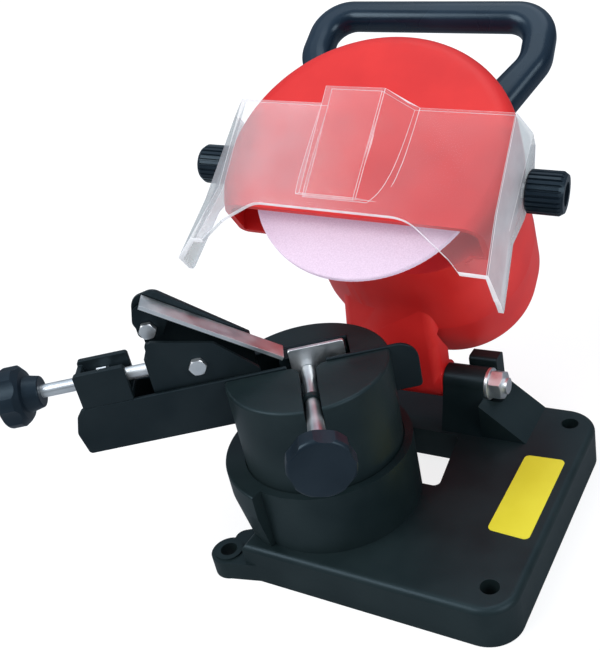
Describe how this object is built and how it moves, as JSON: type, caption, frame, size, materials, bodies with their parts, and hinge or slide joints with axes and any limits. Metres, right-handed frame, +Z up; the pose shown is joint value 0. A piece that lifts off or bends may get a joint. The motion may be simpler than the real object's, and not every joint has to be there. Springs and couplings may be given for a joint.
{
  "type": "electric chainsaw sharpener",
  "caption": "Bench-mounted electric chainsaw chain sharpener: hinged motor head with a guarded grinding wheel, clear visor, swivelling chain vise and adjustable chain stop.",
  "frame": {"origin": "where the vise's swivel axis meets the underside of the base", "axes": "+Z up, +Y to the rear where the head is hinged, +X to the operator's right"},
  "size_m": [0.222, 0.2526, 0.2116],
  "materials": {
    "black_casting": "satin black paint on a die casting",
    "black_steel": "satin black paint on folded sheet steel",
    "red_plastic": "moulded, semi-gloss",
    "black_plastic": "moulded, satin",
    "black_gloss": "moulded, semi-gloss",
    "zinc_steel": "zinc plated",
    "spring_steel": "bright wire",
    "bearing_steel": "ground",
    "shaft_steel": "turned",
    "alloy": "turned",
    "lamination": "stacked sheet with windings",
    "copper": "copper segments",
    "brass_parts": "stamped",
    "fan_plastic": "moulded",
    "rocker_plastic": "moulded",
    "gland_rubber": "soft",
    "abrasive": "bonded abrasive, pale pink, grainy",
    "clear_sheet": "clear polycarbonate",
    "yellow_label": "printed film, plain"
  },
  "bodies": {
    "base": {"base_casting": "black_casting", "hinge_bolt": "zinc_steel", "hinge_washers": "zinc_steel", "hinge_nut": "zinc_steel", "base_label": "yellow_label", "return_spring": "spring_steel"},
    "turntable": {"swivel_drum": "black_casting", "chain_rail": "black_steel", "fixed_jaw": "black_steel", "adjust_block": "black_steel", "adjust_nut": "zinc_steel", "lock_stud": "zinc_steel"},
    "swivel_lock": {"lock_knob": "black_plastic"},
    "clamp_jaw": {"clamp_jaw": "zinc_steel"},
    "clamp_screw": {"clamp_screw": "zinc_steel", "clamp_knob": "black_plastic"},
    "stop_carriage": {"stop_carriage": "black_steel", "stop_bolts": "zinc_steel", "stop_nuts": "zinc_steel"},
    "adjust_screw": {"adjust_screw": "zinc_steel", "adjust_knob": "black_plastic"},
    "chain_stop": {"chain_stop": "zinc_steel"},
    "head": {"head_housing": "red_plastic", "guard_cover": "red_plastic", "motor_cover": "red_plastic", "carry_handle": "black_gloss", "guard_screws": "zinc_steel", "motor_cover_screws": "zinc_steel", "handle_screws": "zinc_steel", "cord_gland": "gland_rubber", "switch_body": "black_plastic", "visor_studs": "zinc_steel", "stator": "lamination", "brush_holders": "brass_parts", "front_bearing": "bearing_steel", "rear_bearing": "bearing_steel", "depth_stop_nut": "zinc_steel"},
    "spindle": {"grinding_wheel": "abrasive", "inner_flange": "alloy", "outer_flange": "alloy", "arbor_nut": "zinc_steel", "motor_shaft": "shaft_steel", "armature": "lamination", "commutator": "copper", "cooling_fan": "fan_plastic"},
    "switch_rocker": {"switch_rocker": "rocker_plastic"},
    "visor": {"visor": "clear_sheet"},
    "visor_knob_left": {"visor_knob_left": "black_plastic"},
    "visor_knob_right": {"visor_knob_right": "black_plastic"},
    "depth_stop": {"depth_stop_screw": "zinc_steel"}
  },
  "joints": [
    {"name": "head_tilt", "type": "hinge", "parent": "base", "child": "head", "pos_m": [0.003, 0.074, 0.041], "axis": [1, 0, 0], "range_deg": [0, 11.5], "stiffness_Nm_per_rad": 0.5, "springref_deg": -28.65},
    {"name": "spindle_spin", "type": "hinge", "parent": "head", "child": "spindle", "pos_m": [0.009, 0.066, 0.1547], "axis": [0.1392, -0.589, 0.796], "continuous": true},
    {"name": "switch_rock", "type": "hinge", "parent": "head", "child": "switch_rocker", "pos_m": [0.03879, 0.12957, 0.07216], "axis": [-0.9903, -0.0828, 0.1119], "range_deg": [0, 10]},
    {"name": "visor_tilt", "type": "hinge", "parent": "head", "child": "visor", "pos_m": [0.00844, 0.06795, 0.15122], "axis": [0.9903, 0.0828, -0.1119], "range_deg": [-18, 8]},
    {"name": "visor_knob_left_turn", "type": "hinge", "parent": "head", "child": "visor_knob_left", "pos_m": [-0.06979, 0.06141, 0.16006], "axis": [-0.9903, -0.0828, 0.1119], "range_deg": [0, 360]},
    {"name": "visor_knob_right_turn", "type": "hinge", "parent": "head", "child": "visor_knob_right", "pos_m": [0.08667, 0.07449, 0.14238], "axis": [0.9903, 0.0828, -0.1119], "range_deg": [0, 360]},
    {"name": "depth_stop_turn", "type": "hinge", "parent": "head", "child": "depth_stop", "pos_m": [-0.014, 0.056, 0.041], "axis": [0, 0, 1], "range_deg": [0, 360]},
    {"name": "swivel", "type": "hinge", "parent": "base", "child": "turntable", "pos_m": [0, 0, 0.06], "axis": [0, 0, 1], "range_deg": [0, 35]},
    {"name": "swivel_lock_turn", "type": "hinge", "parent": "turntable", "child": "swivel_lock", "pos_m": [0, 0, 0.01], "axis": [0, 0, 1], "range_deg": [0, 360]},
    {"name": "jaw_slide", "type": "slide", "parent": "turntable", "child": "clamp_jaw", "axis": [0.565, -0.8251, 0], "range_m": [0, 0.0027]},
    {"name": "clamp_turn", "type": "hinge", "parent": "clamp_jaw", "child": "clamp_screw", "pos_m": [0.02938, -0.04291, 0.0865], "axis": [0.565, -0.8251, 0], "range_deg": [0, 972]},
    {"name": "stop_slide", "type": "slide", "parent": "turntable", "child": "stop_carriage", "axis": [-0.8251, -0.565, 0], "range_m": [-0.0015, 0.008]},
    {"name": "adjust_turn", "type": "hinge", "parent": "stop_carriage", "child": "adjust_screw", "pos_m": [-0.08647, -0.05072, 0.102], "axis": [-0.8251, -0.565, 0], "range_deg": [-540, 2880]},
    {"name": "chain_stop_flip", "type": "hinge", "parent": "stop_carriage", "child": "chain_stop", "pos_m": [-0.05873, -0.0284, 0.119], "axis": [-0.565, 0.8251, 0], "range_deg": [-35, 0]}
  ],
  "couplings": [
    {"joint": "clamp_turn", "follows": "jaw_slide", "rad_per_m": 6283.2},
    {"joint": "adjust_turn", "follows": "stop_slide", "rad_per_m": 6283.2}
  ]
}
